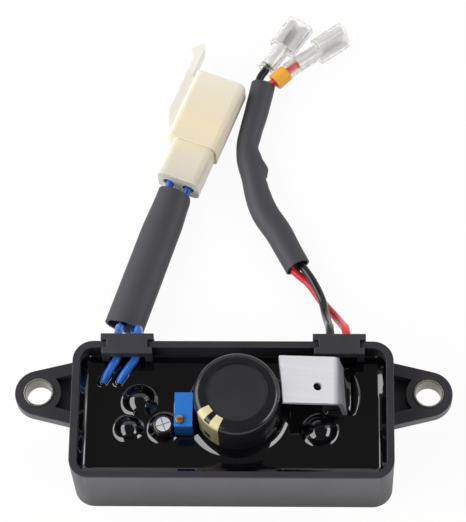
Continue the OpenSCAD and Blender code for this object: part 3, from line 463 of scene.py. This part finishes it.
def creep(gap, size, tilt):
    """Height of a hollow edge of the resin at a distance from what it climbs."""
    if gap >= size:
        return 0.0
    steep = max(gap, size * (1 - math.sin(math.radians(tilt))))
    climb = math.tan(math.radians(tilt)) * (steep - max(gap, -0.3))
    return size - math.sqrt(size * size - (size - steep) ** 2) + climb


def block_gap(x, y, middle, half, turn):
    """Distance from a point to an upright block that stands in the resin."""
    c, s = math.cos(math.radians(turn)), math.sin(math.radians(turn))
    dx, dy = x - middle[0], y - middle[1]
    out_x, out_y = abs(dx * c + dy * s) - half[0], abs(dy * c - dx * s) - half[1]
    return math.hypot(max(out_x, 0), max(out_y, 0)) + min(max(out_x, out_y), 0)


def join(first, second, soft):
    """The higher of two heights, with a soft hollow where they meet."""
    mix = max(soft - abs(first - second), 0) / soft
    return max(first, second) + mix * mix * soft / 4


def dome(gap, r, drop, fillet):
    """Height of a round cap of resin and of the fillet at its foot, at a distance from its middle."""
    foot = math.sqrt((r + fillet) ** 2 - (fillet + drop) ** 2)
    if gap >= foot:
        return 0.0
    if gap > foot * r / (r + fillet):
        return fillet - math.sqrt(fillet * fillet - (foot - gap) ** 2)
    return math.sqrt(r * r - gap * gap) - drop


def walls_rise(x, y):
    """How far the resin has crept up the walls: high at the sides, with a swell on the right."""
    gap, to_side = inside(x, y), IN_W / 2 - abs(x)
    front = clamp(0.5 + (to_side - y - IN_D / 2) / 4) if y < 0 else 0.0
    swell = 0.0
    if x > 0:
        swell = clamp(1.8 * (1 - ((y - SWELL_Y) / SWELL_REACH) ** 2)) * clamp(3 - to_side / 2)
    back = clamp(0.5 + (to_side + y - IN_D / 2) / 5) * (1 - swell) if y > 0 else 0.0
    size, tilt = SIDE_EDGE
    side = creep(gap + 0.6 * swell, size + 1.3 * swell, tilt - 23 * swell) + swell * creep(gap, 1.0, 60)
    return (1 - front - back) * side + front * creep(gap, *FRONT_EDGE) + back * creep(gap, *BACK_EDGE)


def resin_height(x, y):
    """Height of the resin's surface, with a faint sway where it is flat."""
    rise = walls_rise(x, y)
    for (dome_x, dome_y), *form in DOMES:
        rise = join(rise, dome(math.hypot(x - dome_x, y - dome_y), *form), 0.5)
    rise = join(rise, creep(math.hypot(x - CAP[0], y - CAP[1]) - CAP_R + 0.3, *CAP_EDGE), 0.3)
    rise = join(rise, creep(block_gap(x, y, *TRIMMER_BLOCK), *TRIMMER_EDGE), 0.3)
    rise = join(rise, creep(math.hypot(x - SMALL[0], y - SMALL[1]) - SMALL_R, *SMALL_EDGE), 0.5)
    beside = clamp((x - 29) / 2.5) * max(0.0, 4.4 - 0.06 * (y - 6.5) ** 2)
    rise = join(rise, creep(block_gap(x, y, *LEG_BLOCK), LEG_SIZE + beside, LEG_TILT), 0.3)
    run_x, run_y = LEAD_RISE
    for foot_x in LEAD_FEET:
        off_x, off_y = x - foot_x, y - LEAD_FEET_Y
        along = clamp((off_x * run_x + off_y * run_y) / (run_x ** 2 + run_y ** 2))
        off = math.hypot(off_x - run_x * along, off_y - run_y * along)
        fade = 1 - 1.5 * max(0.0, along - 0.5)
        rise = join(rise, creep(max(off - 0.75, 0.1), *LEAD_EDGE) * fade, 0.4)
    sway = 0.02 * math.sin(0.21 * x + 0.6) * math.cos(0.27 * y) + 0.012 * math.sin(0.5 * x + 0.4 * y)
    return LEVEL + rise + sway


bpy.ops.mesh.primitive_grid_add(x_subdivisions=330, y_subdivisions=142, size=1)
resin = bpy.context.active_object
resin.name = "resin"
edge_x, edge_y = IN_W / 2 - IN_R, IN_D / 2 - IN_R
for vertex in resin.data.vertices:
    x, y = vertex.co.x * IN_W, vertex.co.y * IN_D
    dx, dy = abs(x) - edge_x, abs(y) - edge_y
    if dx > 0 and dy > 0 and math.hypot(dx, dy) > IN_R:
        pull = IN_R / math.hypot(dx, dy)
        x = math.copysign(edge_x + dx * pull, x)
        y = math.copysign(edge_y + dy * pull, y)
    vertex.co = Vector((x, y, resin_height(x, y))) * MM
bpy.ops.object.mode_set(mode="EDIT")
bpy.ops.mesh.select_all(action="SELECT")
bpy.ops.mesh.remove_doubles(threshold=0.01 * MM)
bpy.ops.mesh.select_all(action="DESELECT")
bpy.ops.mesh.select_mode(type="EDGE")
bpy.ops.mesh.select_non_manifold()
bpy.ops.mesh.extrude_region_move(TRANSFORM_OT_translate={"value": (0, 0, -UNDERSIDE * MM)})
bpy.ops.transform.resize(value=(1, 1, 0), center_override=(0, 0, UNDERSIDE * MM))
bpy.ops.mesh.edge_face_add()
bpy.ops.mesh.select_all(action="SELECT")
bpy.ops.mesh.normals_make_consistent(inside=False)
bpy.ops.object.mode_set(mode="OBJECT")
bpy.ops.object.shade_smooth_by_angle(angle=math.radians(60))
resin.select_set(False)
casting = Finish("casting_resin", IOR=1.75)
haze = casting.noise(30)
specks = casting.node("ShaderNodeTexVoronoi", {}, {"Vector": casting.place(), "Scale": 420.0})
casting.set(Base_Color=casting.blend(haze, (0.0015, 0.0013, 0.002), (0.003, 0.0026, 0.004)),
            Roughness=0.03 + 0.05 * haze + 0.25 * (specks < 0.06))
casting.bump(casting.noise(55, 2), 0.05, 0.2 * MM)
seat(resin, "potting_resin", "regulator", casting.material)


# ---- Slides
# Two black plastic slides that drop into the slots of the back wall and hold the leads under a
# low arch. A flange on each side of the wall keeps them in place.
slide_plastic = moulded("slide_plastic", (0.037, 0.035, 0.041), 0.46, grain=2200, height=0.03)
slides = {}
for side in ("left", "right"):
    slides[side] = softened("grommet_" + side, "slide_" + side, 0.25)
    seat(slides[side], "grommet_" + side, "regulator", slide_plastic.material)


# ---- Leads
# Four stranded leads in coloured covering. They rise from the board, turn out of the resin,
# pass under the slides and fall to the surface that the tray stands on.
def covering(name, colour, rough=0.35):
    """Extruded covering, a little worn in streaks along the lead."""
    made = Finish(name, IOR=1.5)
    streak = made.node("ShaderNodeMapping", {}, {"Vector": made.place(), "Scale": (300.0, 60.0, 300.0)})
    wear = made.noise(1.0, vector=streak)
    made.set(Base_Color=made.blend(wear, [c * 0.8 for c in colour], [min(1, c * 1.15) for c in colour]),
             Roughness=rough - 0.08 + 0.16 * wear)
    return made.bump(wear, 0.1, 0.05 * MM)


def curve_along(name, route):
    """A smooth curve through the places of a route."""
    curve = bpy.data.curves.new(name, "CURVE")
    curve.dimensions = "3D"
    line = curve.splines.new("BEZIER")
    line.bezier_points.add(len(route) - 1)
    for point, place in zip(line.bezier_points, route):
        point.co = Vector(place) * MM
        point.handle_left_type = point.handle_right_type = "AUTO"
    piece = bpy.data.objects.new(name, curve)
    bpy.context.scene.collection.objects.link(piece)
    return piece


def lead_cord(name, route, diameter, finish, node):
    """A round lead along a route, in the place of its solid."""
    piece = curve_along(name, route)
    piece.data.bevel_depth = diameter / 2 * MM
    piece.data.bevel_resolution = 5
    piece.data.resolution_u = 10
    piece.data.use_fill_caps = True
    seat(piece, node, "regulator", finish.material)
    return piece


BLUE_D, POWER_D = 2.2, 2.3
blue_cover = covering("blue_covering", (0.018, 0.14, 0.55))
red_cover = covering("red_covering", (0.75, 0.03, 0.045))
black_cover = covering("black_covering", (0.008, 0.008, 0.009), 0.24)
blue_1 = lead_cord("blue_lead_1", [
    (-35.6, 8.6, 2.8), (-35.6, 8.6, 15.6), (-34.6, 10.4, 17.9), (-32.6, 13.6, 19.2), (-31.4, 16, 19.4),
    (-31.3, 22, 19.4), (-31.3, 25.4, 17.2), (-31.5, 28.6, 9.5), (-31.4, 32.2, 4), (-29.8, 37.8, 2.6),
    (-24.9, 54.2, 2.6), (-19.8, 69.8, 3), (-19.4, 75, 4.6), (-17.8, 80.3, 4.9)],
    BLUE_D, blue_cover, "blue_wire_1")
blue_2 = lead_cord("blue_lead_2", [
    (-31.4, 8.6, 2.8), (-31.4, 8.6, 15.6), (-30.2, 10.4, 17.9), (-27.8, 13.6, 19.2), (-26.2, 16, 19.4),
    (-26, 22, 19.4), (-26, 25, 17.4), (-26.5, 27.4, 10), (-27.9, 29.6, 5), (-28.1, 31.8, 4.2),
    (-26.6, 36.4, 3.2), (-21.6, 53.1, 2.6), (-16.2, 69, 3), (-14.2, 73.2, 4.6), (-12.4, 78.2, 4.9)],
    BLUE_D, blue_cover, "blue_wire_2")
red = lead_cord("red_lead", [
    (27.4, 14.4, 2.8), (27.4, 14.4, 16.2), (27.4, 15.2, 18.4), (27.7, 17.2, 19.4), (30.3, 21.6, 19.4),
    (30.25, 25.4, 16.8), (29.6, 29.8, 9.4), (27.5, 35, 3.6), (23.8, 40.2, 1.9), (20.2, 45.4, 2.2),
    (15.9, 49.5, 2.5), (10.7, 59.8, 2.4), (6.5, 67, 2.2), (4.2, 79, 2.15), (3.6, 87, 2.2),
    (6, 97.8, 2.8), (8, 107.1, 3.4), (10.2, 107.9, 4.5), (11.9, 109.4, 4.7), (13.6, 110.9, 4.9),
    (15.4, 112.7, 4.7), (19.4, 115.6, 4.7)],
    POWER_D, red_cover, "red_wire")
black = lead_cord("black_lead", [
    (24.7, 14.4, 2.8), (24.7, 14.4, 16.2), (24.9, 15.2, 18.4), (25.25, 17.2, 19.4), (26, 21.6, 19.4),
    (25.95, 25.5, 17.3), (25.5, 29.7, 11.3), (24.75, 34.6, 6.8), (23.7, 39.8, 4.9), (21.2, 45.4, 4.6),
    (18.1, 50.6, 3.8), (12.9, 60.9, 3.2), (8.3, 67.8, 4.5), (4.2, 79, 4.85), (1.6, 87, 4.6),
    (3.5, 98.2, 3.4), (5.4, 107.6, 3.4), (5.9, 109.9, 3.4), (7.4, 112.4, 3.4), (10.2, 116.5, 3.4)],
    POWER_D, black_cover, "black_wire")


# ---- Sleeves
# Soft black tubes pushed over each pair of leads. The left one is cut square and lies straight;
# the right one is slimmer, bends, and has buckled on the inside of its bend.
soft_tube = moulded("soft_tube", (0.044, 0.042, 0.051), 0.6, grain=700, shade=0.2)


def tube(name, route, wide, high, wall, turns):
    """An open tube with an oval section along a route."""
    bpy.ops.curve.primitive_bezier_circle_add(radius=1)
    section = bpy.context.active_object
    for point in section.data.splines[0].bezier_points:
        for part in ("co", "handle_left", "handle_right"):
            spot = getattr(point, part)
            setattr(point, part, (spot.x * wide / 2 * MM, spot.y * high / 2 * MM, 0))
    section.data.resolution_u = 12
    piece = curve_along(name, route)
    piece.data.resolution_u = turns
    piece.data.bevel_mode = "OBJECT"
    piece.data.bevel_object = section
    bpy.ops.object.select_all(action="DESELECT")
    bpy.context.view_layer.objects.active = piece
    piece.select_set(True)
    bpy.ops.object.convert(target="MESH")
    bpy.data.objects.remove(section)
    bpy.ops.object.mode_set(mode="EDIT")
    bpy.ops.mesh.select_all(action="SELECT")
    bpy.ops.mesh.remove_doubles(threshold=0.01 * MM)
    bpy.ops.mesh.normals_make_consistent(inside=False)
    bpy.ops.object.mode_set(mode="OBJECT")
    walls = piece.modifiers.new("wall", "SOLIDIFY")
    walls.thickness = wall * MM
    walls.offset = -1
    bpy.ops.object.modifier_apply(modifier="wall")
    bpy.ops.object.shade_smooth_by_angle(angle=math.radians(40))
    piece.select_set(False)
    return piece


def between(table, y):
    """Value of a table of places and values at a place between two of its rows."""
    for (y0, v0), (y1, v1) in zip(table, table[1:]):
        if y <= y1:
            mix = max(0.0, (y - y0) / (y1 - y0))
            mix = mix * mix * (3 - 2 * mix)
            return v0 + (v1 - v0) * mix
    return table[-1][1]


def squeeze(piece, route, left, right):
    """Narrows or bulges the two sides of a tube along its length."""
    middle = [(place[1], place[0]) for place in route]
    for vertex in piece.data.vertices:
        x, y = vertex.co.x / MM, vertex.co.y / MM
        for (y0, x0), (y1, x1) in zip(middle, middle[1:]):
            if y <= y1 or y1 == middle[-1][0]:
                centre = x0 + (x1 - x0) * (y - y0) / (y1 - y0)
                break
        vertex.co.x = (centre + (x - centre) * between(right if x > centre else left, y)) * MM


LEFT_RUN = [(-30.9, 31.3, 4.3), (-24.4, 51.6, 4.3), (-17.8, 72.2, 4.3)]
RIGHT_RUN = [(17, 50, 3.5), (14.4, 55, 3.5), (11.8, 60.3, 3.5), (7.4, 67.4, 3.5), (5.3, 73, 3.5),
             (4.2, 79, 3.5), (2.6, 87, 3.5), (3.5, 92.6, 3.5), (4.8, 98, 3.5), (6.8, 107.4, 3.5)]
sleeve_left = tube("left_tube", LEFT_RUN, wide=10.4, high=8.4, wall=0.7, turns=24)
squeeze(sleeve_left, LEFT_RUN,
        [(31, 1.07), (60, 1.05), (73, 0.94)],
        [(31, 1.07), (60, 1.05), (69, 0.97), (71.5, 0.86), (73, 0.82)])
seat(sleeve_left, "sleeve_left", "regulator", soft_tube.material)
sleeve_right = tube("right_tube", RIGHT_RUN, wide=7.8, high=6.8, wall=0.55, turns=14)
squeeze(sleeve_right, RIGHT_RUN,
        [(50, 0.92), (62, 1.02), (75, 0.88), (80.6, 0.95), (87.5, 0.84), (107, 0.9)],
        [(50, 0.95), (72, 1), (75.5, 0.95), (77.4, 0.88), (78.5, 1.03), (80.4, 1.17), (84, 0.95),
         (87.5, 0.78), (90, 0.82), (98, 0.88), (107, 0.9)])
seat(sleeve_right, "sleeve_right", "regulator", soft_tube.material)


# ---- Connector
# A two-way plug housing moulded in natural nylon, slightly cloudy, with a long latch arm down one
# side. Two crimped contacts sit inside on the ends of the blue leads.
TURN = math.radians(21)
PLUG = Vector((-16.9, 74.6, 0))
AXIS = Vector((math.sin(TURN), math.cos(TURN), 0))
SIDE = Vector((math.cos(TURN), -math.sin(TURN), 0))
FORE_FROM, FORE_OVER = 63.6, 36
LATCH_FROM, LATCH_RAMP = 7.2, 0.4
LATCH_OUT, LATCH_SPAN, LATCH_IN, LATCH_ROOT = (-10.05, -8.3), (18, 33.6), 1.08, (33.4, 34.6)
MOUTH_TRIM, TRIM_FROM, TRIM_OVER = 1.2, 15, 20.4

nylon = Finish("natural_nylon", Subsurface_Weight=0.6, IOR=1.45,
               Subsurface_Radius=(0.008, 0.007, 0.0045))
cloudy = nylon.noise(45)
plug_x, plug_y, _ = nylon.axes()
fore = (plug_y * AXIS.y + plug_x * AXIS.x - FORE_FROM * MM) / (FORE_OVER * MM)
aside = (plug_y - PLUG.y * MM) * AXIS.x - (plug_x - PLUG.x * MM) * AXIS.y
warm = (1 - 1.7 * abs(fore - 0.5)).at_least(0) * (0.6 + 0.8 * cloudy)
pale = nylon.blend(fore.clamped(), (0.6, 0.59, 0.54), (0.8, 0.77, 0.69))
thick = nylon.blend(warm.at_most(1), pale, (0.8, 0.71, 0.5))
# The latch arm is painted paler than the housing beside it: painted light, standing in for light that
# comes through the cloudy nylon.
latch_painted_light = ((aside - LATCH_FROM * MM) / (LATCH_RAMP * MM)).clamped()
nylon.set(Base_Color=nylon.blend(latch_painted_light, thick, (0.84, 0.81, 0.73)), Roughness=0.34 + 0.12 * cloudy)
nylon.bump(nylon.noise(900, 2), 0.2, 0.015 * MM)
plug = softened("connector_housing", "plug_housing", 0.5)
bpy.context.view_layer.objects.active = plug
plug.select_set(True)
bpy.ops.object.mode_set(mode="EDIT")
for far in LATCH_ROOT:
    bpy.ops.mesh.select_all(action="SELECT")
    bpy.ops.mesh.bisect(plane_co=(PLUG + AXIS * far) * MM, plane_no=AXIS)
bpy.ops.object.mode_set(mode="OBJECT")
bpy.ops.mesh.customdata_custom_splitnormals_clear()
# The latch lies closer to the housing than its solid does, and the mouth is a little shorter.
for vertex in plug.data.vertices:
    spot = vertex.co / MM - PLUG
    out, ahead = spot.dot(SIDE), spot.dot(AXIS)
    if LATCH_OUT[0] < out < LATCH_OUT[1] and LATCH_SPAN[0] < ahead < LATCH_SPAN[1]:
        vertex.co += SIDE * LATCH_IN * MM
    vertex.co -= AXIS * MOUTH_TRIM * clamp((ahead - TRIM_FROM) / TRIM_OVER) * MM
faced(plug)
seat(plug, "connector_housing", "regulator", nylon.material)


# ---- Spade terminals, boots and marker
# Tinned push-on terminals on the red and black leads, each in a clear soft boot, and an orange
# marker ring on the red lead.
clear_boot = Finish("clear_boot", Transmission_Weight=0.9, IOR=1.36)
milky = clear_boot.noise(180)
grazing = clear_boot.node("ShaderNodeLayerWeight", {}, {"Blend": 0.5}, "Facing")
clear_boot.set(Base_Color=clear_boot.blend(milky, (0.93, 0.92, 0.91), (1, 1, 1)),
               Roughness=0.05 + 0.14 * milky, Alpha=0.4 + 0.6 * grazing)
clear_boot.bump(milky, 0.2, 0.1 * MM)
bright_tin = Finish("bright_tin", Metallic=0.15)
dulled = bright_tin.noise(420)
bright_tin.set(Base_Color=bright_tin.blend(dulled, (0.8, 0.79, 0.77), (0.98, 0.97, 0.95)),
               Roughness=0.25 + 0.2 * dulled)
bright_tin.bump(dulled, 0.25, 0.03 * MM)
boots = {}
for tint in ("black", "red"):
    coat("spade_terminal_" + tint, bright_tin)
    boots[tint] = softened("terminal_boot_" + tint, "boot_" + tint, 0.2, 2)
    seat(boots[tint], "terminal_boot_" + tint, "regulator", clear_boot.material)
orange = moulded("orange_tube", (0.82, 0.37, 0.03), 0.42, grain=600, shade=0.12)
marker = softened("marker_sleeve", "marker_ring", 0.25)
seat(marker, "marker_sleeve", "regulator", orange.material)


# ---- Table, light and camera
# A plain white table under soft boxes to the left and the right, with a dim backdrop behind and a
# little spill beside the right box, seen from above and in front, as small parts are shown for sale.
bpy.ops.mesh.primitive_plane_add(size=4, location=(0, 0, -0.0001))
table = bpy.context.active_object
table.name = "table"
DIM_REACH, DIM_SHARE, GLOW_SHARE = 9.0, 0.2, 0.94
white = Finish("table_white", Base_Color=(0.92, 0.92, 0.92), Roughness=0.6)
glow = white.node("ShaderNodeEmission", {}, {"Color": (1, 1, 1), "Strength": 1.0})
straight = white.node("ShaderNodeLightPath", {}, {}, "Is Camera Ray")
glossy, through = straight.twin("Is Glossy Ray"), straight.twin("Is Transmission Ray")
# In reflections the floor is dimmer close to the tray, which shades it.
floor_x, floor_y, _ = white.axes()
past_x = (abs(floor_x) - TRAY_W / 2 * MM).at_least(0)
past_y = (abs(floor_y) - TRAY_D / 2 * MM).at_least(0)
past = (past_x * past_x + past_y * past_y).root()
open_floor = (past / (DIM_REACH * MM)).at_most(1) * 0.82 + DIM_SHARE
seen = straight.at_least(glossy * open_floor).at_least(through)
lit_floor = Tap(white, white.shader.outputs[0])
mixed = white.node("ShaderNodeMixShader", {}, {0: seen * GLOW_SHARE, 1: lit_floor, 2: glow})
white.plug(white.tree.nodes["Material Output"].inputs[0], mixed)
table.data.materials.append(white.material)

world = bpy.data.worlds.new("room")
world.use_nodes = True
backdrop_light = world.node_tree.nodes["Background"].inputs
backdrop_light["Color"].default_value = (1, 1, 1, 1)
backdrop_light["Strength"].default_value = 0.1
bpy.context.scene.world = world


def soft_box(name, way, distance, size, power):
    """A rectangular lamp that looks at the middle of the part from a direction and a distance."""
    aim = Vector((0, 0.03, 0.01))
    lamp = bpy.data.lights.new(name, "AREA")
    lamp.shape = "RECTANGLE"
    lamp.size, lamp.size_y = size
    lamp.energy = power
    holder = bpy.data.objects.new(name, lamp)
    bpy.context.scene.collection.objects.link(holder)
    holder.location = aim + Vector(way).normalized() * distance
    holder.rotation_euler = (aim - holder.location).to_track_quat("-Z", "Y").to_euler()


soft_box("box_right", (0.84, -0.1, 0.5), 0.9, (0.85, 0.34), 4.8)
soft_box("box_left", (-0.84, -0.11, 0.5), 0.9, (1.5, 0.72), 14.6)
soft_box("backdrop", (0, 0.85, 0.52), 1.0, (2.0, 0.8), 3.0)
soft_box("spill_right", (0.71, 0.48, 0.515), 0.95, (0.44, 0.66), 0.9)

lens = bpy.data.cameras.new("camera")
lens.sensor_width = 36
lens.lens = 181.19
lens.clip_start = 0.01
camera = bpy.data.objects.new("camera", lens)
bpy.context.scene.collection.objects.link(camera)
camera.matrix_world = Matrix((
    (0.99945, -0.00157, 0.03311, 0.023302),
    (0.01504, 0.91149, -0.41106, -0.250816),
    (-0.02954, 0.41133, 0.91101, 0.674248),
    (0, 0, 0, 1)))
bpy.context.scene.camera = camera
bpy.context.scene.view_settings.view_transform = "Standard"
